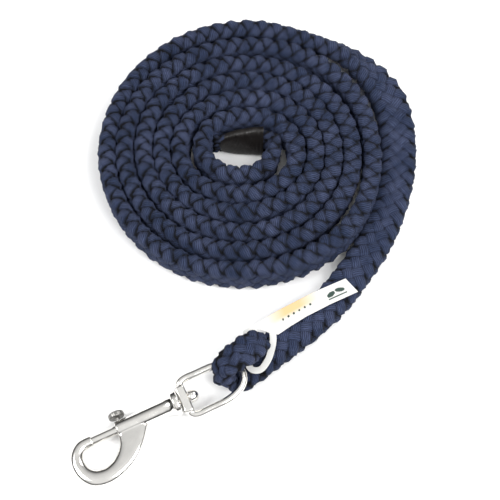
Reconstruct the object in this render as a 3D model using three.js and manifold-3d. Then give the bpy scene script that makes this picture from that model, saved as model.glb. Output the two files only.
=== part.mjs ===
// A lead rope for leading a horse: 2.4 m of flat braided rope laid up in a coil, an eye in the
// rope round the bow of a swivel bolt snap, a sleeve over the rope's inner end and a tag hung in the eye.
// Millimetres, +Z up. The snap lies along X, its hook towards -X and its swivel eye towards +X, and the
// origin is under the middle of the snap, on the surface that everything lies on.
import * as THREE from "three";
import { mergeVertices } from "three/addons/utils/BufferGeometryUtils.js";
import Module from "manifold-3d";

const wasm = await Module();
wasm.setup();

// ---- driving dimensions -------------------------------------------------------------------------

const gap = 0.3; // between pieces that touch

const ropeWidth = 24;
const ropeThickness = 12;
const ropeTop = ropeThickness + gap; // of the rope where it lies flat

const coilCentre = [115.5, 143];
const coilOuter = 90;
const coilInner = 20.5;
const coilEdge = 4; // rounding of the coil's upper and lower edges

const hubPlace = [19.5, 7.4]; // the swivel hub's centre in plan
const snapPitch = THREE.MathUtils.degToRad(5.05); // the eye end rests on the rope
const eyeRoll = THREE.MathUtils.degToRad(12); // the eye's turn about the barrel as it lies

const barrelRadius = 4.7;
const barrelEnd = -44.5; // the open end, towards the hook
const boreRadius = 3.0;
const boreEnd = -12;
const collarRadius = 7.6;
const collarFace = -5.2;

const hookReach = 74.8; // from the hub to where the hook's end touches the surface
const hookHalfThickness = 3.8;
const hookBevel = 2.2;
const noseFace = -59.8;

const boltRadius = 2.6;
const boltTip = -61.0;
const boltTail = -36.5;
const boltTravel = 15.5;
const studPlace = -41.5; // along the barrel
const stemRadius = 1.1;
const studRadius = 4.2;
const studFoot = 7.2; // height of the knob's underside from the barrel's axis
const studTop = 10.2;
const studSocket = 1.4; // radius of the stem's hole in the bolt

const springTurns = 8;
const springRadius = 2.1;
const springWire = 0.3;

const postRadius = 2.2;
const postFlange = 2.75;
const postHead = 4.1;
const postHeadTop = 6.9;

const hubLength = 6.2;
const hubHeight = 6.8;
const hubHalfSpan = 8.4;
const hubFace = collarFace + 0.4;
const eyeWire = 2.35;
const eyeHalfWidth = 11.1; // to the middle of the wire
const bowStart = 17;
const bowEnd = 35.6;

const pivotReach = 33.5; // from the hub to the eye's pivot in the rope
const neckWidth = 13; // the rope drawn in where it passes through the swivel eye
const neckThickness = 7;
const neckTurn = 9.1; // radius of the rope's turn round the bow

const sleeveWall = 1;
const sleeveHeight = 21;
const sleeveThickness = 9.5;
const sleeveLift = 0.5;

const tagThickness = 0.8;
const tagBand = 4;
const tagHeight = 12.8;

// ---- worked out from them -----------------------------------------------------------------------

const hubLift = hookReach * Math.sin(snapPitch) + hookHalfThickness * Math.cos(snapPitch);
const pivot = [
  hubPlace[0] + pivotReach * Math.cos(snapPitch),
  hubPlace[1],
  hubLift + pivotReach * Math.sin(snapPitch),
];
const flatCentre = gap / 2 + ropeThickness / 2; // height of the flat rope's middle

// ---- materials ----------------------------------------------------------------------------------

const navyRope = new THREE.MeshStandardMaterial({ color: 0x2a3350, roughness: 0.95 });
const darkSleeve = new THREE.MeshStandardMaterial({ color: 0x1c1b1b, roughness: 0.45 });
const whiteCard = new THREE.MeshStandardMaterial({ color: 0xf2f1ec, roughness: 0.6 });
const nickel = new THREE.MeshStandardMaterial({ color: 0xc9c8c4, roughness: 0.18, metalness: 1 });
const springSteel = new THREE.MeshStandardMaterial({ color: 0x8f9194, roughness: 0.3, metalness: 1 });

// ---- helpers ------------------------------------------------------------------------------------

function solid(geometry) {
  const bare = geometry.index ? geometry.toNonIndexed() : geometry.clone();
  bare.deleteAttribute("normal");
  bare.deleteAttribute("uv");
  const merged = mergeVertices(bare, 1e-4);
  const mesh = new wasm.Mesh({
    numProp: 3,
    vertProperties: merged.attributes.position.array,
    triVerts: new Uint32Array(merged.index.array),
  });
  return new wasm.Manifold(mesh);
}

function geometryOf(manifold) {
  const mesh = manifold.getMesh();
  const geometry = new THREE.BufferGeometry();
  geometry.setAttribute("position", new THREE.BufferAttribute(mesh.vertProperties, 3));
  geometry.setIndex(new THREE.BufferAttribute(mesh.triVerts, 1));
  return geometry;
}

function piece(name, geometry, material) {
  const mesh = new THREE.Mesh(geometry, material);
  mesh.name = name;
  return mesh;
}

// A profile of [along, radius] points turned round the X axis.
function turned(profile, sides = 32) {
  const points = profile.map(([along, radius]) => new THREE.Vector2(radius, along));
  return new THREE.LatheGeometry(points, sides).rotateZ(-Math.PI / 2);
}

// A rod along X from one end to the other.
function rod(radius, start, end, sides = 32) {
  return turned([[start, 0], [start, radius], [end, radius], [end, 0]], sides);
}

// A flat cord's section: across is its width and through its thickness, with full round edges.
function flatSection(across, through, sides = 12) {
  const shape = new THREE.Shape();
  const squareness = 0.62;
  for (let i = 0; i < sides; i++) {
    const angle = ((i + 0.5) / sides) * 2 * Math.PI;
    const x = (through / 2) * Math.sign(Math.cos(angle)) * Math.abs(Math.cos(angle)) ** squareness;
    const y = (across / 2) * Math.sign(Math.sin(angle)) * Math.abs(Math.sin(angle)) ** squareness;
    if (i === 0) shape.moveTo(x, y);
    else shape.lineTo(x, y);
  }
  return shape;
}

function roundSection(radius, sides) {
  const shape = new THREE.Shape();
  for (let i = 0; i < sides; i++) {
    const angle = (i / sides) * 2 * Math.PI;
    const method = i === 0 ? "moveTo" : "lineTo";
    shape[method](radius * Math.cos(angle), radius * Math.sin(angle));
  }
  return shape;
}

function swept(section, points, steps) {
  const route = points.map((p) => new THREE.Vector3(...p));
  const path = new THREE.CatmullRomCurve3(route, false, "centripetal");
  return new THREE.ExtrudeGeometry(section, { steps, extrudePath: path });
}

// ---- the snap, about its swivel hub: X along the barrel, +Y the stud's side ---------------------

// The outline of the hook's flat faces, from the barrel down the outside, round to the nose and back
// along the inside. The rounded edges stand hookBevel outside it.
function hookOutline() {
  const outside = [
    [-24.5, 0], [-27.4, -3], [-32.4, -8.4], [-37.1, -14.7], [-42.3, -19.8], [-48.8, -23.7], [-55.3, -25.6],
    [-62, -25.8], [-67.6, -23.9], [-72, -18.9], [-74.4, -12.4], [-74.4, -6.3], [-71.8, -1.4], [-66.9, 1],
    [-62.6, 1.4],
  ];
  const inside = [
    [-62.6, -1.2], [-67.2, -2.4], [-70.4, -6.8], [-70.2, -12.9], [-66.7, -18.2], [-60.6, -20.4],
    [-53.7, -19.2], [-47.9, -15.4], [-43.9, -9.8], [-42.5, -4.4],
  ];
  const shape = new THREE.Shape();
  shape.moveTo(...outside[0]);
  shape.splineThru(outside.slice(1).map((p) => new THREE.Vector2(...p)));
  shape.lineTo(noseFace - hookBevel, 1.4);
  shape.lineTo(noseFace - hookBevel, -1);
  shape.lineTo(...inside[0]);
  shape.splineThru(inside.slice(1).map((p) => new THREE.Vector2(...p)));
  shape.lineTo(barrelEnd + hookBevel, 0);
  return shape;
}

function hookSolid() {
  const cast = new THREE.ExtrudeGeometry(hookOutline(), {
    depth: 2 * (hookHalfThickness - hookBevel),
    curveSegments: 3,
    bevelEnabled: true,
    bevelThickness: hookBevel,
    bevelSize: hookBevel,
    bevelSegments: 3,
  });
  return solid(cast.translate(0, 0, hookBevel - hookHalfThickness));
}

function barrelSolid() {
  const flareStart = collarFace - 9;
  const rimBack = collarFace - 3.4;
  return solid(
    turned([
      [barrelEnd, 0],
      [barrelEnd, barrelRadius - 0.6],
      [barrelEnd + 0.6, barrelRadius],
      [flareStart, barrelRadius],
      [flareStart + 3, barrelRadius + 0.8],
      [rimBack, collarRadius - 0.5],
      [rimBack + 0.6, collarRadius],
      [collarFace - 0.6, collarRadius],
      [collarFace, collarRadius - 0.6],
      [collarFace, 0],
    ]),
  );
}

function hookBody() {
  const slotWidth = 2 * stemRadius + 0.6;
  const slotStart = studPlace - stemRadius - 0.4;
  const slotLength = boltTravel + slotWidth;
  const slot = new THREE.BoxGeometry(slotLength, 2 * barrelRadius, slotWidth);
  slot.translate(slotStart + slotLength / 2, barrelRadius, 0);
  const bore = rod(boreRadius, barrelEnd - 6, boreEnd);
  const postHole = rod(postRadius + gap, boreEnd - 1, collarFace + 1);
  const pocket = rod(boltRadius + gap, boltTip - gap, noseFace + 2);
  let body = hookSolid().add(barrelSolid());
  for (const cutter of [bore, slot, postHole, pocket]) body = body.subtract(solid(cutter));
  return piece("hook_body", geometryOf(body), nickel);
}

function bolt() {
  const pin = turned([
    [boltTip, 0], [boltTip, boltRadius - 0.8], [boltTip + 0.8, boltRadius],
    [boltTail - 0.4, boltRadius], [boltTail, boltRadius - 0.4], [boltTail, 0],
  ]);
  const socket = new THREE.CylinderGeometry(studSocket, studSocket, boltRadius, 20);
  socket.translate(studPlace, boltRadius / 2 + 0.4, 0);
  return piece("bolt", geometryOf(solid(pin).subtract(solid(socket))), nickel);
}

function thumbStud() {
  const foot = 0.4 + gap; // just clear of the bottom of its socket in the bolt
  const profile = [
    [0, foot], [stemRadius, foot], [stemRadius, studFoot - 0.6], [stemRadius + 0.6, studFoot],
    [studRadius - 0.5, studFoot], [studRadius, studFoot + 0.6], [studRadius, studTop - 1.1],
    [studRadius - 0.9, studTop - 0.3], [studRadius - 2.4, studTop], [0, studTop],
  ];
  const knob = new THREE.LatheGeometry(profile.map((p) => new THREE.Vector2(...p)), 28);
  return piece("thumb_stud", knob.translate(studPlace, 0, 0), nickel);
}

class Helix extends THREE.Curve {
  constructor(radius, start, end, turns) {
    super();
    Object.assign(this, { radius, start, end, turns });
  }
  getPoint(t, target = new THREE.Vector3()) {
    const angle = 2 * Math.PI * this.turns * t;
    const along = this.start + (this.end - this.start) * t;
    return target.set(along, this.radius * Math.cos(angle), this.radius * Math.sin(angle));
  }
}

function boltSpring() {
  const seat = boreEnd - gap - 1.7 - gap - springWire; // on the post's flange
  const coil = new Helix(springRadius, boltTail + gap + springWire, seat, springTurns);
  const steps = 14 * springTurns;
  const wire = new THREE.ExtrudeGeometry(roundSection(springWire, 6), { steps, extrudePath: coil });
  return piece("bolt_spring", wire, springSteel);
}

function swivelPost() {
  const flangeBack = boreEnd - gap - 1.7;
  const headFoot = hubFace + hubLength + gap;
  return piece(
    "swivel_post",
    turned([
      [flangeBack, 0], [flangeBack, postFlange], [boreEnd - gap, postFlange], [boreEnd - gap, postRadius],
      [headFoot, postRadius], [headFoot, postHead - 0.3], [headFoot + 0.8, postHead],
      [headFoot + 2.4, postHead - 0.4], [postHeadTop - 1, postHead - 1.5], [postHeadTop, 0],
    ]),
    nickel,
  );
}

// A D-shaped eye: a thick hub bar across the barrel's end, two straight arms and a long bow.
function swivelEye() {
  const hubMiddle = hubFace + hubLength / 2;
  const corner = 3.6;
  const half = [];
  for (let i = 0; i <= 8; i++) {
    const angle = (i / 8) * (Math.PI / 2);
    half.push([bowStart + (bowEnd - bowStart) * Math.cos(angle), eyeHalfWidth * Math.sin(angle), 0]);
  }
  half.push([10, eyeHalfWidth, 0], [hubMiddle + corner + 0.6, eyeHalfWidth, 0]);
  half.push([hubMiddle + 1.2, eyeHalfWidth - 1.1, 0], [hubMiddle, eyeHalfWidth - corner, 0]);
  const otherHalf = half.slice(1).map(([x, y]) => [x, -y, 0]);
  const bow = solid(swept(roundSection(eyeWire, 10), [...half.reverse(), ...otherHalf], 64));
  const edge = 1.2;
  const block = new THREE.Shape();
  const [halfLength, halfHeight] = [hubLength / 2 - edge, hubHeight / 2 - edge];
  block.moveTo(-halfLength, -halfHeight);
  block.lineTo(halfLength, -halfHeight);
  block.lineTo(halfLength, halfHeight);
  block.lineTo(-halfLength, halfHeight);
  const depth = 2 * (hubHalfSpan - edge);
  const bar = new THREE.ExtrudeGeometry(block, {
    depth, bevelEnabled: true, bevelThickness: edge, bevelSize: edge, bevelSegments: 3,
  });
  bar.translate(0, 0, -depth / 2).rotateX(Math.PI / 2).translate(hubMiddle, 0, 0);
  const hole = rod(postRadius + 0.35, hubFace - 1, hubFace + hubLength + 1);
  const eye = solid(bar).add(bow).subtract(solid(hole));
  return piece("swivel_eye", geometryOf(eye), nickel);
}

function snap() {
  const group = new THREE.Group();
  group.position.set(...hubPlace, hubLift);
  group.rotation.y = -snapPitch;
  const eye = new THREE.Group();
  eye.rotation.x = eyeRoll;
  eye.add(swivelEye());
  group.add(hookBody(), bolt(), thumbStud(), boltSpring(), swivelPost(), eye);
  return group;
}

// ---- the rope -----------------------------------------------------------------------------------

function coilRing(extra = 0) {
  const [inner, outer] = [coilInner - extra, coilOuter + extra];
  const [foot, top] = [-extra, ropeWidth + extra];
  const profile = [
    [inner + coilEdge, foot], [outer - coilEdge, foot], [outer - 1, foot + 1.4], [outer, foot + coilEdge],
    [outer, top - coilEdge], [outer - 1, top - 1.4], [outer - coilEdge, top],
    [inner + coilEdge, top], [inner + 1, top - 1.4], [inner, top - coilEdge],
    [inner, foot + coilEdge], [inner + 1, foot + 1.4], [inner + coilEdge, foot],
  ];
  const ring = new THREE.LatheGeometry(profile.map((p) => new THREE.Vector2(...p)), 72);
  return ring.rotateX(Math.PI / 2).translate(...coilCentre, 0);
}

function ropeCoil() {
  return piece("rope_coil", coilRing(), navyRope);
}

// From the coil's outside, round its right-hand side and down to the neck, lying flat.
const tailRoute = [
  [203.8, 180.5], [212.2, 168], [216.8, 155], [218, 140], [213.8, 121.7], [204, 101.3], [190.9, 81.8],
  [177, 66.5], [163, 53.5], [148, 43.5], [132, 34], [116, 26.7], [100, 21.3], [84, 17],
];

function ropeTail() {
  const points = tailRoute.map(([x, y]) => [x, y, flatCentre]);
  const tube = solid(swept(flatSection(ropeWidth, ropeThickness), points, 26));
  return piece("rope_tail", geometryOf(tube.subtract(solid(coilRing(gap)))), navyRope);
}

// The neck under the bow, the turn round it, and the end laid back over the neck.
function ropeEye() {
  const [px, py, pz] = pivot;
  const low = pz - neckTurn;
  const points = [
    [83.4, 16.8, flatCentre], [76, 14.8, flatCentre - 0.4], [68, 11.4, low + 0.6], [60, 8.2, low],
  ];
  for (let i = 0; i <= 8; i++) {
    const angle = -Math.PI / 2 - (i / 8) * Math.PI;
    points.push([px + neckTurn * Math.cos(angle), py, pz + neckTurn * Math.sin(angle)]);
  }
  points.push([59, 10.5, pz + neckTurn - 0.4], [65, 14.6, 20.4], [71, 18.6, 17.2], [74.5, 20.6, 16.2]);
  return piece("rope_eye", swept(flatSection(neckWidth, neckThickness), points, 34), navyRope);
}

// The rope's inner end, off the coil's last turn and into its sleeve, from the coil's centre.
const endRoute = [[18.8, -6.2], [19, -1.5], [14, 2.2], [2, 6.6], [-10, 11.4]];
const sleeveRoute = [[14, 2.2], [-12.2, 12.4]];

function inCoil([x, y]) {
  return [coilCentre[0] + x, coilCentre[1] + y, sleeveLift + sleeveHeight / 2];
}

function ropeEnd() {
  const inset = 2 * (sleeveWall + gap);
  const section = flatSection(sleeveThickness - inset, sleeveHeight - inset);
  const tube = solid(swept(section, endRoute.map(inCoil), 12));
  return piece("rope_end", geometryOf(tube.subtract(solid(coilRing(gap)))), navyRope);
}

// A shrunk-on sleeve, open towards the coil and closed over the rope's cut end.
function endSleeve() {
  const [mouth, tip] = sleeveRoute.map((p) => new THREE.Vector3(...inCoil(p)));
  const along = tip.clone().sub(mouth).normalize();
  const before = mouth.clone().sub(along);
  const inside = tip.clone().addScaledVector(along, -sleeveWall);
  const shell = swept(flatSection(sleeveThickness, sleeveHeight, 20), [mouth, tip], 4);
  const inner = flatSection(sleeveThickness - 2 * sleeveWall, sleeveHeight - 2 * sleeveWall, 20);
  const hollow = swept(inner, [before, inside], 4);
  return piece("end_sleeve", geometryOf(solid(shell).subtract(solid(hollow))), darkSleeve);
}

// ---- the tag: a strip of card lying on the tail, and the band that holds it in the rope's eye ---

function tagStrip() {
  const outline = [
    [139, 26.4], [136, 37.3], [113, 37], [90, 35], [66, 31.4], [64.5, 28.4], [75, 28.4], [80, 23.5],
    [84, 20.8], [92, 22.6], [104, 24.6], [120, 25.8],
  ];
  const shape = new THREE.Shape(outline.map((p) => new THREE.Vector2(...p)));
  const strip = new THREE.ExtrudeGeometry(shape, { depth: tagThickness, bevelEnabled: false });
  return piece("tag_strip", strip.translate(0, 0, tagHeight), whiteCard);
}

// From the strip's lower edge over the neck, down past the bow and under the fold to the strip's end.
function tagBandLoop() {
  const middle = tagHeight + tagThickness / 2;
  const route = [
    [81.3, 20.6, middle], [78, 14.4, middle], [73, 8.4, middle - 0.5], [66.5, 5.4, middle - 1.8],
    [61.5, 7.6, middle - 2], [60.4, 14, middle - 1.8], [60.6, 20, middle - 1], [62.4, 25.8, middle],
  ];
  return piece("tag_band", swept(flatSection(tagBand, tagThickness, 8), route, 36), whiteCard);
}

const leadRope = new THREE.Group();
leadRope.add(snap(), ropeCoil(), ropeTail(), ropeEye(), ropeEnd(), endSleeve(), tagStrip(), tagBandLoop());

export default leadRope;
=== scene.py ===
"""A lead rope for leading a horse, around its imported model: the braid strand by strand, its sleeve, the
polished swivel snap and the tag. Metres, in the row's frame: the snap along X, the coil towards +Y."""

import math

import bpy
import numpy as np
from mathutils import Matrix, Vector


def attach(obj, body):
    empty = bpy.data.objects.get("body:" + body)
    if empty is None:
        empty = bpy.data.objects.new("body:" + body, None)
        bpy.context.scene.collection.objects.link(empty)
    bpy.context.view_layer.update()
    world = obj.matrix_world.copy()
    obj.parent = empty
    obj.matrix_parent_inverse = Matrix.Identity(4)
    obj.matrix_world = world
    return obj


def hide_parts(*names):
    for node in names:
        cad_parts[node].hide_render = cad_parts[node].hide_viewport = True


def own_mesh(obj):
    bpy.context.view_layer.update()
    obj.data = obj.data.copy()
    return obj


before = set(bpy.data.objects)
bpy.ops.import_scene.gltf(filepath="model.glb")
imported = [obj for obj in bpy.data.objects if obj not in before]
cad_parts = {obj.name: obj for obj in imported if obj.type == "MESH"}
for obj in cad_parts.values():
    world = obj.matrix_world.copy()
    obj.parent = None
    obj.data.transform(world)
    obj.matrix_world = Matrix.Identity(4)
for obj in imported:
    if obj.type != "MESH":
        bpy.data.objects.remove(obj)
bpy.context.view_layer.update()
scene = bpy.context.scene
rng = np.random.default_rng(7)

MM = 0.001


# ---- the camera -----------------------------------------------------------------------------------

def make_camera():
    aim = Vector((0.0938, 0.0837, 0.0))
    heading = math.radians(24.1)  # the look direction's turn from +Y towards +X
    height = math.radians(65.0)  # above the horizon
    distance = 0.9
    look = Vector((
        math.sin(heading) * math.cos(height),
        math.cos(heading) * math.cos(height),
        -math.sin(height),
    ))
    data = bpy.data.cameras.new("camera")
    data.sensor_width = 36.0
    data.lens = 105.0
    camera = bpy.data.objects.new("camera", data)
    camera.location = aim - distance * look
    camera.rotation_euler = look.to_track_quat("-Z", "Y").to_euler()
    scene.collection.objects.link(camera)
    scene.camera = camera


make_camera()

# ---- helpers --------------------------------------------------------------------------------------


def smooth_line(stations, step):
    """Stations (x, y, z, and any more columns) resampled evenly along a centripetal Catmull-Rom curve."""
    rows = np.array(stations, float)
    rows = np.vstack([2 * rows[0] - rows[1], rows, 2 * rows[-1] - rows[-2]])
    dense = []
    for p0, p1, p2, p3 in zip(rows, rows[1:], rows[2:], rows[3:]):
        t1 = math.sqrt(np.linalg.norm(p1[:3] - p0[:3]))
        t2 = t1 + math.sqrt(np.linalg.norm(p2[:3] - p1[:3]))
        t3 = t2 + math.sqrt(np.linalg.norm(p3[:3] - p2[:3]))
        t = np.linspace(t1, t2, 24, endpoint=False)[:, None]
        a1 = (t1 - t) / t1 * p0 + t / t1 * p1
        a2 = (t2 - t) / (t2 - t1) * p1 + (t - t1) / (t2 - t1) * p2
        a3 = (t3 - t) / (t3 - t2) * p2 + (t - t2) / (t3 - t2) * p3
        b1 = (t2 - t) / t2 * a1 + t / t2 * a2
        b2 = (t3 - t) / (t3 - t1) * a2 + (t - t1) / (t3 - t1) * a3
        dense.append((t2 - t) / (t2 - t1) * b1 + (t - t1) / (t2 - t1) * b2)
    dense.append(rows[-2][None])
    dense = np.vstack(dense)
    along = distances(dense[:, :3])
    even = np.linspace(0, along[-1], int(round(along[-1] / step)) + 1)
    return np.column_stack([np.interp(even, along, column) for column in dense.T])


def distances(points):
    return np.concatenate([[0], np.cumsum(np.linalg.norm(np.diff(points, axis=0), axis=1))])


def unit(vectors):
    return vectors / np.linalg.norm(vectors, axis=-1, keepdims=True)


def mesh_object(name, vertices, faces, material=None, smooth=True):
    mesh = bpy.data.meshes.new(name)
    mesh.from_pydata([tuple(v) for v in vertices], [], [tuple(f) for f in faces])
    mesh.validate()
    if smooth:
        mesh.shade_smooth()
    thing = bpy.data.objects.new(name, mesh)
    scene.collection.objects.link(thing)
    if material:
        mesh.materials.append(material)
    return thing


def tube_faces(rings, sides, start=0):
    """The faces of a tube of rings of vertices, closed with a fan at each end on the two last vertices."""
    faces = []
    for i in range(rings - 1):
        a, b = start + i * sides, start + (i + 1) * sides
        for j in range(sides):
            k = (j + 1) % sides
            faces.append((a + j, b + j, b + k, a + k))
    last = start + (rings - 1) * sides
    first_middle = start + rings * sides
    for j in range(sides):
        k = (j + 1) % sides
        faces.append((first_middle, start + j, start + k))
        faces.append((first_middle + 1, last + k, last + j))
    return faces


def tube(line, width_axis, thick_axis, half_widths, half_thicknesses, squareness=1.0, sides=24):
    """A closed tube with a section from an ellipse (squareness 1) towards a rectangle (0)."""
    angle = np.arange(sides) / sides * 2 * np.pi
    c, s = np.cos(angle), np.sin(angle)
    power = np.broadcast_to(squareness, len(line))[:, None]
    across = np.sign(c) * np.abs(c) ** power * np.broadcast_to(half_widths, len(line))[:, None]
    out = np.sign(s) * np.abs(s) ** power * np.broadcast_to(half_thicknesses, len(line))[:, None]
    rings = line[:, None] + width_axis[:, None] * across[:, :, None] + thick_axis[:, None] * out[:, :, None]
    vertices = np.vstack([rings.reshape(-1, 3), line[:1], line[-1:]])
    return vertices, tube_faces(len(line), sides)


def turned(profile, sides=64):
    """A profile of (along, radius) points, from axis to axis, turned round X."""
    inner = [(a, r) for a, r in profile if r > 0]
    angle = np.arange(sides) / sides * 2 * np.pi
    rings = [[(a, r * math.cos(t), r * math.sin(t)) for t in angle] for a, r in inner]
    ends = [(profile[0][0], 0, 0), (profile[-1][0], 0, 0)]
    return np.vstack([np.array(rings).reshape(-1, 3), ends]), tube_faces(len(inner), sides)


def rounded(profile, radius, steps=5):
    """The profile with its sharp corners rounded."""
    points = [np.array(p, float) for p in profile]
    result = [points[0]]
    for before, corner, after in zip(points, points[1:], points[2:]):
        back, ahead = before - corner, after - corner
        reach = min(radius, 0.45 * np.linalg.norm(back), 0.45 * np.linalg.norm(ahead))
        a = corner + back / np.linalg.norm(back) * reach
        b = corner + ahead / np.linalg.norm(ahead) * reach
        for i in range(steps + 1):
            t = i / steps
            result.append((1 - t) ** 2 * a + 2 * t * (1 - t) * corner + t ** 2 * b)
    result.append(points[-1])
    return [tuple(p) for p in result]


def bake(thing):
    """Turns the piece's modifiers into its mesh."""
    depsgraph = bpy.context.evaluated_depsgraph_get()
    mesh = bpy.data.meshes.new_from_object(thing.evaluated_get(depsgraph))
    thing.modifiers.clear()
    thing.data = mesh


def cast(thing, grain, smoothing, cutters):
    """Melts the piece's overlapping parts into one skin, eases its corners, then cuts the holes."""
    remesh = thing.modifiers.new("skin", "REMESH")
    remesh.mode = "VOXEL"
    remesh.voxel_size = grain
    ease = thing.modifiers.new("ease", "SMOOTH")
    ease.factor = 0.5
    ease.iterations = smoothing
    for cutter in cutters:
        cut = thing.modifiers.new("cut", "BOOLEAN")
        cut.operation = "DIFFERENCE"
        cut.solver = "EXACT"
        cut.object = cutter
    bake(thing)
    for cutter in cutters:
        bpy.data.objects.remove(cutter)
    thing.data.shade_smooth()


# ---- the rope's route -----------------------------------------------------------------------------
# Each station is a point in metres, the braid's roll about its line (0 flat, 90 on edge), its width and
# its thickness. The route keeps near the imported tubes: from the fold laid back over the neck, round the
# bow and along the tail. The coil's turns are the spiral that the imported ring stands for, and the last of
# them runs into the sleeve.

ROPE_WIDTH = 0.024
ROPE_THICKNESS = 0.012
COILED_THICKNESS = 0.0122  # fuller where it is bent on edge
PIVOT = Vector((0.05287, 0.0074, 0.01332))  # where the rope bears on the bow of the eye
NECK_TURN = 0.0091  # the radius of the rope's line round it
FLAT_HEIGHT = 0.00615
COIL_CENTRE = (0.1145, 0.1404)  # of the turns, a little in front of the ring that stands for them
SLEEVE_CENTRE = (0.1155, 0.1430)

FOLD = [
    (0.0740, 0.0212, 0.0130, 0, 0.013, 0.007), (0.0718, 0.0204, 0.0160, 0, 0.0165, 0.0095),
    (0.0680, 0.0190, 0.0187, 0, 0.0195, 0.0114), (0.0630, 0.0172, 0.0212, 0, 0.020, 0.0120),
    (0.0575, 0.0152, 0.0230, 0, 0.020, 0.0120),
]
NECK = [
    (0.0600, 0.0088, 0.0046, 0, 0.0185, 0.0088), (0.0680, 0.0114, 0.0052, 0, 0.0205, 0.0098),
    (0.0760, 0.0148, 0.0058, 0, 0.023, 0.0112), (0.0834, 0.0168, FLAT_HEIGHT, 0, 0.024, 0.012),
]
TAIL = [
    (0.2048, 0.1816), (0.2118, 0.1679), (0.2157, 0.1548), (0.2168, 0.1400), (0.2127, 0.1221),
    (0.2041, 0.1012), (0.1913, 0.0815), (0.1776, 0.0661), (0.1630, 0.0535), (0.1480, 0.0435),
    (0.1320, 0.0340), (0.1160, 0.0267), (0.1000, 0.0213),
]
TAIL_ROLL = [52, 34, 20, 10, 4]  # half on edge where it joins the coil, then lying flat
TAIL_WIDTH = [0.0246, 0.0258, 0.0266, 0.0266, 0.0260, 0.0250]  # pressed flat against the coil's outside

COIL_STEPS_PER_TURN = 24
COIL_TURNS = 5.7
COIL_START_TURN = 0.22
COIL_START_ANGLE = math.radians(-24.1)
OUTER_RADIUS = 91.5  # millimetres
RADIUS_LOST_PER_TURN = 12.15

# from the sleeve's middle: x, y, roll and thickness, for the rope is squeezed thin inside the sleeve
INNER_END = [
    (0.0188, -0.0062, 96, 0.0095), (0.0190, -0.0015, 106, 0.0072), (0.0140, 0.0022, 112, 0.0048),
    (0.0020, 0.0068, 102, 0.0044), (-0.0140, 0.0124, 90, 0.0044),
]
INNER_END_HEIGHT = 0.0112
INNER_END_WIDTH = 0.0186


def resting_height(roll, width, thickness):
    """The height of the braid's middle above the floor when it lies rolled by that much."""
    roll = math.radians(roll)
    return math.hypot(width / 2 * math.sin(roll), thickness / 2 * math.cos(roll)) + 0.15 * MM


def hump(value, middle, reach):
    return math.exp(-(((value - middle) / reach) ** 2))


def bow_stations():
    """Half a turn round the bow, narrowest between the arms of the eye."""
    stations = []
    steps = 8
    for i in range(steps + 1):
        angle = math.pi / 2 + i / steps * math.pi
        x = PIVOT.x + NECK_TURN * math.cos(angle)
        y = PIVOT.y + 0.0024 + (0.0044 if i < 4 else 0.0022) * math.sin(angle)
        z = PIVOT.z + NECK_TURN * math.sin(angle) + 0.0008 * (1 + math.sin(angle))
        spread = abs(math.sin(angle)) ** 1.6
        stations.append((x, y, z, 0, 0.0150 + 0.0038 * spread, 0.0096 - 0.0006 * spread))
    return stations


def tail_stations():
    """From the neck along the floor to the coil, rolling up on edge."""
    stations = []
    rolls = TAIL_ROLL + [0] * (len(TAIL) - len(TAIL_ROLL))
    widths = TAIL_WIDTH + [ROPE_WIDTH] * (len(TAIL) - len(TAIL_WIDTH))
    for (x, y), roll, width in reversed(list(zip(TAIL, rolls, widths))):
        height = resting_height(roll, width, ROPE_THICKNESS)
        stations.append((x, y, height, roll, width, ROPE_THICKNESS))
    return stations


def coil_radius(turn, angle):
    """Each turn lies inside the last one, a little oval, and bulges towards the tail beside it."""
    oval = min(2.4, 1.2 * turn - 1.6) * math.cos(2 * (angle - math.radians(155)))
    bulge = 3.0 * hump(turn, 0.90, 0.08) + 2.4 * hump(turn, 1.12, 0.1)
    ends = 2.8 * max(0, 1 - turn / 0.6) - 4.0 * max(0, turn - 5.15)
    return (OUTER_RADIUS - RADIUS_LOST_PER_TURN * turn + oval + bulge + ends) * MM


def coil_stations():
    """The turns, on edge, with the small tilts and lifts of a rope laid by hand."""
    stations = []
    for i in range(int(COIL_TURNS * COIL_STEPS_PER_TURN) + 1):
        turn = COIL_START_TURN + i / COIL_STEPS_PER_TURN
        angle = 2 * math.pi * turn + COIL_START_ANGLE
        radius = coil_radius(turn, angle)
        roll = 90 - 24 * max(0, 0.5 - turn) / 0.28 + 5 * math.sin(2.3 * angle)
        height = resting_height(roll, ROPE_WIDTH, COILED_THICKNESS)
        height += 0.6 * MM * (1 + math.sin(1.7 * angle))
        x = COIL_CENTRE[0] + radius * math.cos(angle)
        y = COIL_CENTRE[1] + radius * math.sin(angle)
        stations.append((x, y, height, roll, ROPE_WIDTH, COILED_THICKNESS))
    return stations


def inner_end_stations():
    stations = []
    for x, y, roll, thickness in INNER_END:
        x += SLEEVE_CENTRE[0]
        y += SLEEVE_CENTRE[1]
        stations.append((x, y, INNER_END_HEIGHT, roll, INNER_END_WIDTH, thickness))
    return stations


def rope_stations():
    return FOLD + bow_stations() + NECK + tail_stations() + coil_stations() + inner_end_stations()


def section_frames(line, rolls):
    """Unit vectors along the line, across the braid's width and out of its flat side, at every point."""
    tangents = unit(np.gradient(line, axis=0))
    across = np.zeros_like(line)
    lateral = np.array([0.0, 1.0, 0.0])
    for i, tangent in enumerate(tangents):
        lateral = lateral - tangent * (lateral @ tangent)
        level = np.cross([0.0, 0.0, 1.0], tangent)
        level *= np.sign(level @ lateral) or 1.0
        lateral = unit(0.8 * unit(lateral) + 0.2 * level)  # eased back to level, so that it can't twist up
        lateral = unit(lateral - tangent * (lateral @ tangent))
        across[i] = lateral
    up = np.cross(tangents, across)
    turn = np.radians(rolls)[:, None]
    width = across * np.cos(turn) + up * np.sin(turn)
    return tangents, width, np.cross(tangents, width)


# ---- the braid: eight strands, four each way round, each over one and under one ---------------------

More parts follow.
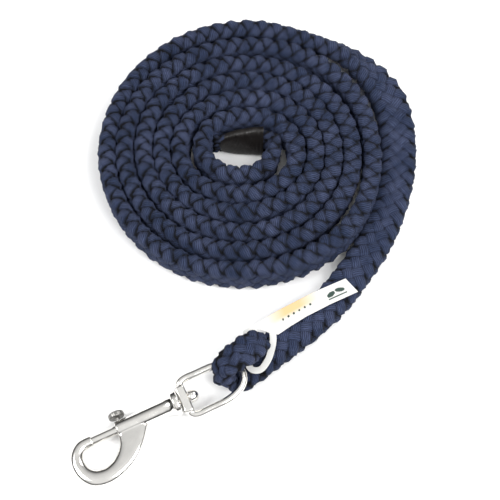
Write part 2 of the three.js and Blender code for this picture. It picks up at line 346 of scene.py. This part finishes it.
STRANDS_EACH_WAY = 4
BRAID_PITCH = 0.0380  # along the rope for one turn of a strand round it
STRAND_WIDTH = 0.0083
STRAND_THICKNESS = 0.0060
CROSSING_LIFT = 0.0013
STRAND_SIDES = 10
RING_STEP = 0.0014


def wander(along, size, wavelength):
    """A slow seeded wobble along the rope."""
    total = np.zeros_like(along)
    for stretch in (1.0, 0.43):
        total += np.sin(2 * np.pi * along / (wavelength * stretch) + rng.uniform(0, 2 * np.pi))
    return size * total / 1.4


def flat_oval(share, half_width, half_thickness):
    """The point and the outward normal at a share of the way round a flat loop with round ends."""
    straight = half_width - half_thickness
    quarter = np.pi / 2 * half_thickness
    around = np.mod(share, 1.0) * (4 * straight + 4 * quarter)
    flip = around >= 2 * straight + 2 * quarter
    around = np.where(flip, around - 2 * straight - 2 * quarter, around)
    first = np.clip(around / quarter, 0, 1)
    run = np.clip(around - quarter, 0, 2 * straight)
    last = np.clip((around - quarter - 2 * straight) / quarter, 0, 1)
    angle = np.pi / 2 * (first + last)
    across = straight - run + half_thickness * np.cos(angle)
    out = half_thickness * np.sin(angle)
    sign = np.where(flip, -1.0, 1.0)
    return sign * across, sign * out, sign * np.cos(angle), sign * np.sin(angle)


def strand_mesh(line, frames, widths, thicknesses, direction, index):
    """One strand's vertices and faces, and at each of its rings the distance along it and how far it is
    over (1) or under (-1) the others."""
    _, width_axis, thick_axis = frames
    along = distances(line)
    scale_w = widths / ROPE_WIDTH
    scale_t = thicknesses / ROPE_THICKNESS
    turns = direction * along / BRAID_PITCH + (index + 0.25 - 0.25 * direction) / STRANDS_EACH_WAY
    turns = turns + wander(along, size=0.008, wavelength=0.11)
    reach = CROSSING_LIFT + STRAND_THICKNESS / 2
    x, y, nx, ny = flat_oval(turns, widths / 2 - reach * scale_t, thicknesses / 2 - reach * scale_t)
    over = direction * np.sin(2 * np.pi * STRANDS_EACH_WAY * turns)
    lift = CROSSING_LIFT * scale_t * over + wander(along, size=0.00018, wavelength=0.05)
    outward = unit(width_axis * nx[:, None] + thick_axis * ny[:, None])
    middle = line + width_axis * x[:, None] + thick_axis * y[:, None] + outward * lift[:, None]
    tangent = unit(np.gradient(middle, axis=0))
    normal = unit(outward - tangent * np.sum(outward * tangent, axis=1)[:, None])
    side = np.cross(tangent, normal)
    size = 1 + wander(along, size=0.05, wavelength=0.07)
    half_w = STRAND_WIDTH / 2 * np.sqrt(scale_w * scale_t) * size * (0.96 + 0.08 * over)
    half_t = STRAND_THICKNESS / 2 * scale_t * (0.97 + 0.05 * over)
    ring = np.arange(STRAND_SIDES) / STRAND_SIDES * 2 * np.pi
    c, s = -np.cos(ring), np.sin(ring)
    rings = (
        middle[:, None, :]
        + normal[:, None, :] * (half_t[:, None] * c)[:, :, None]
        + side[:, None, :] * (half_w[:, None] * s)[:, :, None]
    )
    rings[:, :, 2] = np.maximum(rings[:, :, 2], 0.2 * MM)
    vertices = np.vstack([rings.reshape(-1, 3), middle[:1], middle[-1:]])
    return vertices, tube_faces(len(line), STRAND_SIDES), distances(middle), over


def make_rope(material):
    rows = smooth_line(rope_stations(), RING_STEP)
    line = rows[:, :3]
    frames = section_frames(line, rows[:, 3])
    vertices, faces, along, depth = [], [], [], []
    for direction in (1, -1):
        for index in range(STRANDS_EACH_WAY):
            points, sides, strand_along, over = strand_mesh(
                line, frames, rows[:, 4], rows[:, 5], direction, index
            )
            start = len(vertices) * len(points)
            vertices.append(points)
            faces += [tuple(start + k for k in face) for face in sides]
            along += [*np.repeat(strand_along, STRAND_SIDES), 0.0, strand_along[-1]]
            depth += [*np.repeat(over, STRAND_SIDES), 0.0, 0.0]
    rope = mesh_object("rope", np.vstack(vertices), faces, material)
    mesh = rope.data
    mesh.attributes.new("over", "FLOAT", "POINT").data.foreach_set("value", np.array(depth, np.float32))
    wrap_strands(mesh, np.array(along), len(vertices[0]))
    return rope, rows


def wrap_strands(mesh, along, strand_size):
    """Texture coordinates on the strands: metres along each, and the share of the way round it."""
    corners = np.zeros(len(mesh.loops), int)
    mesh.loops.foreach_get("vertex_index", corners)
    share = (corners % strand_size % STRAND_SIDES) / STRAND_SIDES
    for face in mesh.polygons:
        loops = slice(face.loop_start, face.loop_start + face.loop_total)
        if np.ptp(share[loops]) > 0.5:
            share[loops] += share[loops] < 0.5
    start = 0.61 * (corners // strand_size)  # so that no two strands show the same stretch of fibres
    places = np.column_stack([along[corners] + start, share])
    mesh.uv_layers.new(name="strand").data.foreach_set("uv", places.astype(np.float32).ravel())


# ---- the sleeve -----------------------------------------------------------------------------------

SLEEVE_HALF_WIDTH = 10.6 * MM
SLEEVE_HALF_THICKNESS = 3.3 * MM
RIB_SPACING = 8.5 * MM
SLEEVE_OVERHANG = 2.4 * MM  # past the rope's end


def make_sleeve(material, rope_rows):
    """Shrunk over the rope's inner end: snug and ribbed by the strands, closed and pinched at the tip."""
    mouth = np.array([SLEEVE_CENTRE[0] + 0.0145, SLEEVE_CENTRE[1] + 0.0020])
    start = int(np.argmin(np.linalg.norm(rope_rows[:, :2] - mouth, axis=1)))
    rows = rope_rows[start:]
    tip = rows[-1].copy()
    tip[:3] += SLEEVE_OVERHANG * unit(rows[-1, :3] - rows[-4, :3])
    rows = smooth_line(np.vstack([rows[:, :6], tip[:6]])[::4], 0.4 * MM)
    line = rows[:, :3]
    _, width_axis, thick_axis = section_frames(line, rows[:, 3])
    along = distances(line)
    share = along / along[-1]
    taper = 1 - 0.35 * np.clip((share - 0.55) / 0.45, 0, 1) ** 1.5
    closing = 1 - 0.5 * np.clip((share - 0.95) / 0.05, 0, 1)
    pinch = taper * closing
    lip = 1 + 0.05 * np.exp(-((along / 0.0009) ** 2))
    creases = 0.02 * wander(along, size=1.0, wavelength=0.006)
    ribs = 1 + 0.035 * np.sin(2 * np.pi * along / RIB_SPACING) * (1 - share) + creases
    half_widths = SLEEVE_HALF_WIDTH * lip * pinch
    half_thicknesses = SLEEVE_HALF_THICKNESS * ribs * pinch ** 0.6 * lip
    vertices, faces = tube(
        line, width_axis, thick_axis, half_widths, half_thicknesses, squareness=0.62, sides=56
    )
    vertices[:, 2] = np.maximum(vertices[:, 2], 0.3 * MM)
    return mesh_object("sleeve", vertices, faces, material)


# ---- the snap, about its swivel hub in millimetres: X along the barrel, +Y the stud's side -----------

HUB = Vector((0.0195, 0.0074, 0.010370))  # in the row, in metres
SNAP_PITCH = math.radians(5.05)
EYE_ROLL = math.radians(12)
BARREL_END = -44.5
COLLAR_FACE = -5.2
STUD_PLACE = -41.5
BOLT_TRAVEL = 15.5
SPRING_START = -35.9
SPRING_SEAT = -14.9
HUB_MIDDLE = -1.7
BARREL_RADIUS = 4.7
COLLAR_RADIUS = 7.6
BOLT_RADIUS = 2.6
POST_RADIUS = 2.2
SPRING_RADIUS = 2.1
SPRING_TURNS = 8
SPRING_WIRE_RADIUS = 0.3
EYE_HALF_WIDTH = 11.1
EYE_WIRE_RADIUS = 2.35
CAST_GRAIN = 0.3 * MM  # in metres


def snap_object(name, vertices, faces, material, eye=False):
    """A mesh in the snap's millimetres put in its place in the row."""
    place = Matrix.Translation(HUB) @ Matrix.Rotation(-SNAP_PITCH, 4, "Y") @ Matrix.Scale(MM, 4)
    if eye:
        place = place @ Matrix.Rotation(EYE_ROLL, 4, "X")
    turn = np.array(place)
    return mesh_object(name, np.asarray(vertices) @ turn[:3, :3].T + turn[:3, 3], faces, material)


def together(*parts):
    vertices, faces, start = [], [], 0
    for points, sides in parts:
        vertices.append(points)
        faces += [tuple(start + k for k in face) for face in sides]
        start += len(points)
    return np.vstack(vertices), faces


def block(low, high):
    """A box's eight corners and six faces."""
    xs, ys, zs = zip(low, high)
    corners = np.array([(x, y, z) for x in xs for y in ys for z in zs])
    faces = [(0, 1, 3, 2), (4, 6, 7, 5), (0, 4, 5, 1), (2, 3, 7, 6), (0, 2, 6, 4), (1, 5, 7, 3)]
    return corners, faces


def rod(start, end, radius):
    """The profile of a plain round rod, to turn."""
    return [(start, 0), (start, radius), (end, radius), (end, 0)]


def hook_sweep():
    """From the nose round the hook and up the web to the barrel: x, y, z, half the width, half the depth
    and how square the section is (1 round)."""
    stations = [
        (-59.9, 0.1, 0, 3.4, 3.5, 0.95), (-63.0, 0.1, 0, 3.6, 3.7, 0.95),
        (-67.2, -0.7, 0, 3.8, 3.8, 0.95), (-70.9, -4.0, 0, 4.0, 3.8, 0.95),
        (-72.5, -9.5, 0, 4.2, 3.8, 0.92), (-71.2, -15.9, 0, 4.6, 3.9, 0.9),
        (-67.0, -21.1, 0, 5.0, 3.9, 0.85), (-59.5, -23.1, 0, 4.9, 3.9, 0.82),
        (-52.0, -21.4, 0, 5.0, 3.8, 0.78), (-45.6, -17.6, 0, 5.7, 3.6, 0.68),
        (-40.7, -12.6, 0, 6.5, 3.4, 0.52), (-37.6, -7.2, 0, 7.9, 3.2, 0.45),
        (-35.8, -2.0, 0, 9.6, 3.1, 0.45),
    ]
    rows = smooth_line(stations, 0.5)
    line = rows[:, :3]
    up = np.broadcast_to([0.0, 0.0, 1.0], line.shape)
    level = unit(np.cross(up, unit(np.gradient(line, axis=0))))
    return tube(line, level, up, rows[:, 3], rows[:, 4], rows[:, 5], sides=32)


def make_hook(material):
    barrel = turned(rounded([
        (BARREL_END, 0), (BARREL_END, BARREL_RADIUS), (-14.6, BARREL_RADIUS), (-11.2, 5.4), (-8.9, 6.9),
        (-8.4, COLLAR_RADIUS), (COLLAR_FACE, COLLAR_RADIUS), (COLLAR_FACE, 0),
    ], 0.9))
    hook = snap_object("hook", *together(hook_sweep(), barrel), material)
    slot = block((STUD_PLACE - 1.5, 0, -1.4), (STUD_PLACE + BOLT_TRAVEL + 1.5, 9, 1.4))
    cutters = [
        snap_object("bore", *turned(rod(-50, -12, 3.0)), None),
        snap_object("slot", *slot, None),
        snap_object("post_hole", *turned(rod(-13, -4, 2.5)), None),
        snap_object("pocket", *turned(rod(-61.3, -56, 2.9)), None),  # in the nose, for the bolt's tip
    ]
    cast(hook, CAST_GRAIN, smoothing=5, cutters=cutters)
    return hook


def make_eye(material):
    """A D: a thick bar across the barrel's end, two arms and a long bow of round wire."""
    arm = []
    for i in range(13):
        angle = i / 12 * math.pi / 2
        arm.append((17 + 18.6 * math.cos(angle), EYE_HALF_WIDTH * math.sin(angle), 0))
    arm += [(10, EYE_HALF_WIDTH, 0), (2.5, EYE_HALF_WIDTH, 0), (-0.3, 10.0, 0), (HUB_MIDDLE, 7.0, 0)]
    other_arm = [(x, -y, z) for x, y, z in arm[1:]]
    line = smooth_line(arm[::-1] + other_arm, 0.5)
    up = np.broadcast_to([0.0, 0.0, 1.0], line.shape)
    level = unit(np.cross(up, unit(np.gradient(line, axis=0))))
    wire = tube(line, level, up, EYE_WIRE_RADIUS, EYE_WIRE_RADIUS)
    across = np.linspace(-8.4, 8.4, 40)
    bar_line = np.column_stack([np.full(40, HUB_MIDDLE), across, np.zeros(40)])
    ends = 1 - 0.35 * np.clip((np.abs(across) - 7.2) / 1.2, 0, 1) ** 2
    x_axis = np.broadcast_to([1.0, 0.0, 0.0], bar_line.shape)
    z_axis = np.broadcast_to([0.0, 0.0, 1.0], bar_line.shape)
    bar = tube(bar_line, x_axis, z_axis, 3.1 * ends, 3.4 * ends, squareness=0.45, sides=32)
    eye = snap_object("swivel_eye_wire", *together(wire, bar), material, eye=True)
    hole = snap_object("hole", *turned(rod(-6, 4, 2.55)), None, eye=True)
    cast(eye, CAST_GRAIN, smoothing=4, cutters=[hole])
    return eye


def make_post(material):
    """A stem with a wider foot held in the barrel and a domed head in the eye."""
    head_foot = HUB_MIDDLE + 3.4
    dome = []
    for angle in np.linspace(0.1, 1.5, 9):
        dome.append((head_foot + 1.4 + 4.1 * math.sin(angle), 3.9 * math.cos(angle) ** 0.8))
    profile = rounded([
        (-14.0, 0), (-14.0, 2.75), (-12.3, 2.75), (-12.3, POST_RADIUS), (head_foot, POST_RADIUS),
        (head_foot, 4.05), (head_foot + 1.3, 4.05),
    ] + dome + [(6.9, 0)], 0.25)
    return snap_object("post", *turned(profile), material)


def make_bolt(material):
    profile = rounded([
        (-61.0, 0), (-61.0, 1.7), (-60.2, BOLT_RADIUS), (-36.5, BOLT_RADIUS), (-36.5, 0),
    ], 0.5)
    return snap_object("bolt_pin", *turned(profile), material)


def make_stud(material):
    """The thumb knob, its rim cut with fine grip ridges."""
    profile = rounded([
        (0.7, 0), (0.7, 1.1), (5.9, 1.1), (6.7, 1.9), (6.7, 4.4), (7.1, 4.8), (9.3, 4.8), (10.0, 4.0),
        (10.4, 2.2), (10.4, 0),
    ], 0.3)
    points, faces = turned(profile, 96)
    around = np.arctan2(points[:, 2], points[:, 1])
    radius = np.hypot(points[:, 1], points[:, 2])
    ridge = 1 - 0.04 * (radius > 4.5) * (0.5 + 0.5 * np.cos(32 * around))
    upright = np.column_stack([STUD_PLACE + points[:, 1] * ridge, points[:, 0], points[:, 2] * ridge])
    return snap_object("stud", upright, [face[::-1] for face in faces], material)


def make_spring(material):
    t = np.linspace(0, 1, 40 * SPRING_TURNS)
    angle = 2 * np.pi * SPRING_TURNS * t
    along = SPRING_START + (SPRING_SEAT - SPRING_START) * t
    line = np.column_stack([along, SPRING_RADIUS * np.cos(angle), SPRING_RADIUS * np.sin(angle)])
    outward = np.column_stack([np.zeros_like(t), np.cos(angle), np.sin(angle)])
    side = unit(np.cross(unit(np.gradient(line, axis=0)), outward))
    coil = tube(line, outward, side, SPRING_WIRE_RADIUS, SPRING_WIRE_RADIUS, sides=10)
    return snap_object("spring", *coil, material)


# ---- the tag, in millimetres ----------------------------------------------------------------------

STRIP_LOWER = [
    (64.5, 28.4), (75.0, 28.4), (80.0, 23.5), (84.0, 20.8), (92.0, 22.6), (104.0, 24.6), (120.0, 25.8),
    (139.0, 26.4),
]
STRIP_UPPER = [(66.0, 31.4), (90.0, 35.0), (113.0, 37.0), (136.0, 37.3)]
BAND_ROUTE = [
    (82.0, 25.0, 13.2), (80.0, 19.4, 13.2), (76.2, 13.6, 13.1), (71.4, 8.6, 12.6), (65.5, 5.8, 11.4),
    (61.2, 7.8, 11.2), (60.4, 14.0, 11.4), (60.6, 20.0, 12.2), (62.4, 25.8, 13.1),
]
STRIP_HEIGHT = 13.25
CARD_HALF_THICKNESS = 0.2
STRIP_LENGTH = 74.0
STRIP_BREADTH = 11.5


def evenly(points, shares):
    points = np.array(points, float)
    along = distances(points)
    return np.column_stack([np.interp(shares * along[-1], along, column) for column in points.T])


def make_strip(material):
    """The card strip, a little curled, with the amount of each ink at every vertex."""
    columns, rows = 260, 40
    u, v = np.linspace(0, 1, columns), np.linspace(0, 1, rows)
    lower, upper = evenly(STRIP_LOWER, u), evenly(STRIP_UPPER, u)
    flat = lower[:, None] + (upper - lower)[:, None] * v[None, :, None]
    share, across = np.meshgrid(u, v, indexing="ij")
    curl = STRIP_HEIGHT + 0.18 * np.sin(2 * np.pi * share * 1.3 + 0.6) + 0.1 * np.cos(np.pi * across)
    vertices, faces = [], []
    for side in (CARD_HALF_THICKNESS, -CARD_HALF_THICKNESS):
        vertices.append(np.column_stack([flat.reshape(-1, 2), curl.ravel() + side]))
    count = columns * rows
    for i in range(columns - 1):
        for j in range(rows - 1):
            a, b = i * rows + j, (i + 1) * rows + j
            faces.append((a, b, b + 1, a + 1))
            faces.append((count + a + 1, count + b + 1, count + b, count + a))
    rim = [i * rows for i in range(columns)] + [(columns - 1) * rows + j for j in range(1, rows)]
    rim += [i * rows + rows - 1 for i in range(columns - 2, -1, -1)] + list(range(rows - 2, 0, -1))
    for a, b in zip(rim, rim[1:] + rim[:1]):
        faces.append((b, a, count + a, count + b))
    strip = mesh_object("tag_card", np.vstack(vertices) * MM, faces, material)
    warm, dark = strip_print(share, across)
    for name, ink in (("warm_ink", warm), ("dark_ink", dark)):
        values = np.concatenate([ink.ravel(), 0 * ink.ravel()]).astype(np.float32)
        strip.data.attributes.new(name, "FLOAT", "POINT").data.foreach_set("value", values)
    return strip


def strip_print(share, across):
    """A warm fade along the middle, a row of small dots and a plain two-leaved sprig at the far end."""
    fade = np.clip((share - 0.2) / 0.2, 0, 1) * np.clip((0.74 - share) / 0.2, 0, 1)
    warm = fade * np.clip((across - 0.4) / 0.25, 0, 1)
    x, y = share * STRIP_LENGTH, across * STRIP_BREADTH
    dark = np.zeros_like(share)
    for i in range(6):
        dark = np.maximum(dark, np.hypot(x - 27.0 - 3.8 * i, y - 5.6) < 0.7)
    for centre_x, centre_y, tilt in ((60.0, 5.6, 0.35), (66.2, 6.2, -0.25)):
        along = (x - centre_x) * math.cos(tilt) + (y - centre_y) * math.sin(tilt)
        aside = (y - centre_y) * math.cos(tilt) - (x - centre_x) * math.sin(tilt)
        dark = np.maximum(dark, (along / 3.0) ** 2 + (aside / 1.5) ** 2 < 1)
    bar = (np.abs(y - 2.9) < 0.4) & (np.abs(x - 63.0) < 6.0)
    return warm, np.maximum(dark, bar)


def make_band(material):
    """The card's narrow band, from the strip round the rope's eye and back."""
    rows = smooth_line(np.array(BAND_ROUTE) * MM, 0.6 * MM)
    line = rows[:, :3]
    tangents = unit(np.gradient(line, axis=0))
    level = unit(np.cross([0.0, 0.0, 1.0], tangents))
    up = np.cross(tangents, level)
    band = tube(line, level, up, 2 * MM, CARD_HALF_THICKNESS * MM, squareness=0.3, sides=20)
    return mesh_object("tag_band_card", *band, material)


# ---- materials ------------------------------------------------------------------------------------

def new_material(name):
    material = bpy.data.materials.new(name)
    material.use_nodes = True
    return material, material.node_tree, material.node_tree.nodes["Principled BSDF"]


def add(tree, kind, **values):
    node = tree.nodes.new(kind)
    for key, value in values.items():
        if key in node.inputs:
            node.inputs[key].default_value = value
        else:
            setattr(node, key, value)
    return node


def math_of(tree, operation, *terms):
    """A Math node's result. Each term is a number or another node's output."""
    node = add(tree, "ShaderNodeMath", operation=operation)
    for socket, term in zip(node.inputs, terms):
        if isinstance(term, float):
            socket.default_value = term
        else:
            tree.links.new(term, socket)
    return node.outputs[0]


def remap(tree, value, before, after):
    """The value, moved from its first range to its second and kept inside that."""
    node = add(tree, "ShaderNodeMapRange")
    for key, number in zip(("From Min", "From Max", "To Min", "To Max"), before + after):
        node.inputs[key].default_value = number
    tree.links.new(value, node.inputs["Value"])
    return node.outputs[0]


def stretched(tree, place, scale, rotation=(0.0, 0.0, 0.0)):
    node = add(tree, "ShaderNodeMapping", Scale=scale, Rotation=rotation)
    tree.links.new(place, node.inputs["Vector"])
    return node.outputs[0]


def noise(tree, place, **values):
    node = add(tree, "ShaderNodeTexNoise", **values)
    tree.links.new(place, node.inputs["Vector"])
    return node.outputs["Fac"]


def between(tree, amount, first, last, start=0.0, end=1.0):
    """The first colour up to the start, the last from the end on, and a blend of them between."""
    node = add(tree, "ShaderNodeValToRGB")
    for stop, position, colour in zip(node.color_ramp.elements, (start, end), (first, last)):
        stop.position = position
        stop.color = (*colour, 1)
    tree.links.new(amount, node.inputs["Fac"])
    return node.outputs["Color"]


def bumped(tree, height, strength, distance, over=None):
    """The normal of a surface that the height raises, on top of another such normal if one is given."""
    node = add(tree, "ShaderNodeBump", Strength=strength, Distance=distance)
    tree.links.new(height, node.inputs["Height"])
    if over is not None:
        tree.links.new(over, node.inputs["Normal"])
    return node.outputs[0]


def object_place(tree):
    return add(tree, "ShaderNodeTexCoord").outputs["Object"]


def wave_across(tree, split, per_metre, around):
    """A sine over the strand: that many crests to the metre along it and that many round it."""
    slanted = math_of(tree, "MULTIPLY", split.outputs["Y"], 2 * math.pi * around)
    phase = math_of(tree, "MULTIPLY_ADD", split.outputs["X"], 2 * math.pi * per_metre, slanted)
    return math_of(tree, "SINE", phase)


def seam_shade(tree, split):
    """Dark where a strand dives under another and on its flanks, which lie in its neighbours' shadow."""
    over = add(tree, "ShaderNodeAttribute", attribute_name="over").outputs["Fac"]
    dive = remap(tree, over, (-0.7, 0.6), (0.08, 1.0))
    around = math_of(tree, "MULTIPLY", split.outputs["Y"], 2 * math.pi)
    crown = remap(tree, math_of(tree, "COSINE", around), (-0.35, -0.85), (0.03, 1.0))
    return math_of(tree, "MULTIPLY", dive, crown)


def rope_material():
    """Navy yarns laid side by side in each strand, each with its twist, its stray fibres and its tone."""
    material, tree, shader = new_material("navy_braid")
    link = tree.links.new
    place = add(tree, "ShaderNodeUVMap", uv_map="strand").outputs["UV"]
    split = add(tree, "ShaderNodeSeparateXYZ")
    link(place, split.inputs[0])
    yarns = wave_across(tree, split, per_metre=40.0, around=20.0)
    plies = wave_across(tree, split, per_metre=650.0, around=-20.0)
    laid = math_of(tree, "MULTIPLY_ADD", plies, 0.4, yarns)
    along_strand = stretched(tree, place, (300.0, 90.0, 1.0))
    fibre = noise(tree, along_strand, Scale=1.0, Detail=4.0, Roughness=0.65)
    tone = noise(tree, object_place(tree), Scale=75.0, Detail=2.0, Roughness=0.5)
    navy = between(tree, tone, (0.017, 0.026, 0.058), (0.040, 0.051, 0.099), 0.32, 0.68)
    yarn_shade = remap(tree, laid, (-1.2, 0.9), (0.5, 1.25))
    fibre_shade = remap(tree, fibre, (0.3, 0.7), (0.3, 1.8))
    shade = math_of(tree, "MULTIPLY", seam_shade(tree, split), yarn_shade)
    shade = math_of(tree, "MULTIPLY", shade, fibre_shade)
    shaded = add(tree, "ShaderNodeMix", data_type="RGBA", blend_type="MULTIPLY", Factor=1.0)
    link(navy, shaded.inputs["A"])
    link(shade, shaded.inputs["B"])
    link(shaded.outputs["Result"], shader.inputs["Base Color"])
    shader.inputs["Roughness"].default_value = 0.92
    shader.inputs["Specular IOR Level"].default_value = 0.2
    shader.inputs["Sheen Weight"].default_value = 0.04
    shader.inputs["Sheen Roughness"].default_value = 0.5
    shader.inputs["Sheen Tint"].default_value = (0.55, 0.6, 0.85, 1)
    height = math_of(tree, "MULTIPLY_ADD", laid, 0.5, fibre)
    link(bumped(tree, height, strength=0.9, distance=0.0004), shader.inputs["Normal"])
    return material


def worn_metal(name, tint, rough, scratch):
    """Polished plate: faint smears, fine scratches along the barrel and soft waves left by the casting."""
    material, tree, shader = new_material(name)
    link = tree.links.new
    place = object_place(tree)
    smear = noise(tree, place, Scale=160.0, Detail=3.0, Roughness=0.55)
    link(remap(tree, smear, (0.35, 0.7), (rough, rough + 0.09)), shader.inputs["Roughness"])
    dulled = [0.93 * part for part in tint]
    link(between(tree, smear, dulled, tint, 0.3, 0.7), shader.inputs["Base Color"])
    along_barrel = stretched(tree, place, (60.0, 2600.0, 2600.0), (0.0, SNAP_PITCH, 0.5))
    scratches = noise(tree, along_barrel, Scale=1.0, Detail=2.0, Roughness=0.6)
    waves = noise(tree, place, Scale=170.0, Detail=1.0, Roughness=0.4)
    scratched = bumped(tree, scratches, strength=scratch, distance=0.00002)
    wavy = bumped(tree, waves, strength=0.25, distance=0.0003, over=scratched)
    link(wavy, shader.inputs["Normal"])
    shader.inputs["Metallic"].default_value = 1.0
    return material


def sleeve_material():
    """Dark shrunk film, a little glossy, creased across the rope."""
    material, tree, shader = new_material("shrunk_sleeve")
    link = tree.links.new
    place = object_place(tree)
    mottle = noise(tree, place, Scale=260.0, Detail=4.0, Roughness=0.6)
    link(between(tree, mottle, (0.003, 0.0025, 0.0025), (0.012, 0.010, 0.009)), shader.inputs["Base Color"])
    link(remap(tree, mottle, (0.3, 0.7), (0.3, 0.48)), shader.inputs["Roughness"])
    across_rope = stretched(tree, place, (420.0, 160.0, 110.0), (0.0, 0.0, 0.42))
    folds = noise(tree, across_rope, Scale=1.0, Detail=2.0, Roughness=0.5, Distortion=0.8)
    link(bumped(tree, folds, strength=0.7, distance=0.0007), shader.inputs["Normal"])
    shader.inputs["Specular IOR Level"].default_value = 0.3
    return material


def card_material():
    """Coated white card: the print is two inks whose strength each vertex holds."""
    material, tree, shader = new_material("printed_card")
    link = tree.links.new
    pulp = noise(tree, object_place(tree), Scale=1400.0, Detail=4.0, Roughness=0.7)
    colour = between(tree, pulp, (0.60, 0.60, 0.58), (0.70, 0.70, 0.68))
    for ink, shade in (("warm_ink", (0.66, 0.44, 0.22, 1)), ("dark_ink", (0.02, 0.045, 0.035, 1))):
        amount = add(tree, "ShaderNodeAttribute", attribute_name=ink)
        printed = add(tree, "ShaderNodeMix", data_type="RGBA", blend_type="MIX")
        link(amount.outputs["Fac"], printed.inputs["Factor"])
        link(colour, printed.inputs["A"])
        printed.inputs["B"].default_value = shade
        colour = printed.outputs["Result"]
    link(colour, shader.inputs["Base Color"])
    shader.inputs["Roughness"].default_value = 0.42
    link(bumped(tree, pulp, strength=0.25, distance=0.00005), shader.inputs["Normal"])
    return material


# ---- light and floor ------------------------------------------------------------------------------

def make_floor():
    material, tree, shader = new_material("pale_floor")
    shader.inputs["Base Color"].default_value = (0.93, 0.93, 0.93, 1)
    shader.inputs["Roughness"].default_value = 0.9
    reach = 3
    corners = [(-reach, -reach, 0), (reach, -reach, 0), (reach, reach, 0), (-reach, reach, 0)]
    mesh_object("floor", corners, [(0, 1, 2, 3)], material)


def area_light(name, place, size, power, aim=(0.09, 0.09, 0)):
    data = bpy.data.lights.new(name, "AREA")
    data.size = size
    data.energy = power
    lamp = bpy.data.objects.new(name, data)
    lamp.location = place
    lamp.rotation_euler = (Vector(aim) - Vector(place)).to_track_quat("-Z", "Y").to_euler()
    scene.collection.objects.link(lamp)


def make_light():
    """A white tent, brightest over the front and dark low down, so that polished metal has something to
    reflect against the pale floor."""
    world = bpy.data.worlds.new("studio")
    world.use_nodes = True
    tree = world.node_tree
    link = tree.links.new
    where = add(tree, "ShaderNodeTexCoord")
    towards = add(tree, "ShaderNodeVectorMath", operation="DOT_PRODUCT")
    towards.inputs[1].default_value = (-0.15, -0.35, 0.92)
    link(where.outputs["Generated"], towards.inputs[0])
    tent = between(tree, towards.outputs["Value"], (0.24, 0.24, 0.24), (1, 1, 1), 0.20, 0.90)
    split = add(tree, "ShaderNodeSeparateXYZ")
    link(where.outputs["Generated"], split.inputs[0])
    backdrop = tree.nodes["Background"]
    link(remap(tree, split.outputs["Z"], (0.2, 0.6), (0.04, 1.0)), backdrop.inputs["Strength"])
    link(tent, backdrop.inputs["Color"])
    scene.world = world
    area_light("front", (0.5, -0.75, 1.1), size=0.8, power=18)
    area_light("left", (-0.95, 0.25, 1.0), size=0.7, power=12)
    area_light("right", (1.0, 0.5, 1.1), size=0.6, power=6)


scene.view_settings.view_transform = "Standard"
make_floor()
make_light()

# ---- the pieces -----------------------------------------------------------------------------------

nickel = worn_metal("nickel_plate", (0.80, 0.785, 0.755), rough=0.1, scratch=0.3)
# the thumb stud's plate gets a much darker tint than the rest of the snap
dark_stud_metal = worn_metal("dark_stud_nickel", (0.24, 0.235, 0.225), rough=0.28, scratch=0.8)
steel = worn_metal("spring_steel", (0.50, 0.50, 0.50), rough=0.25, scratch=0.5)
card = card_material()

rope, rope_rows = make_rope(rope_material())
sleeve = make_sleeve(sleeve_material(), rope_rows)
spring = make_spring(steel)

for thing, body, finish, nodes in (
    (rope, "rope", "rope", ["rope_coil", "rope_tail", "rope_eye", "rope_end"]),
    (sleeve, "rope", "sleeve", ["end_sleeve"]),
    (make_hook(nickel), "hook", "nickel", ["hook_body"]),
    (make_post(nickel), "hook", "nickel", ["swivel_post"]),
    (spring, "hook", "spring_steel", ["bolt_spring"]),
    (make_eye(nickel), "eye", "nickel", ["swivel_eye"]),
    (make_bolt(nickel), "bolt", "nickel", ["bolt"]),
    (make_stud(dark_stud_metal), "bolt", "nickel", ["thumb_stud"]),
    (make_strip(card), "tag", "card", ["tag_strip"]),
    (make_band(card), "rope", "card", ["tag_band"]),
):
    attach(thing, body)
    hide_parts(*nodes)

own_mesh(spring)
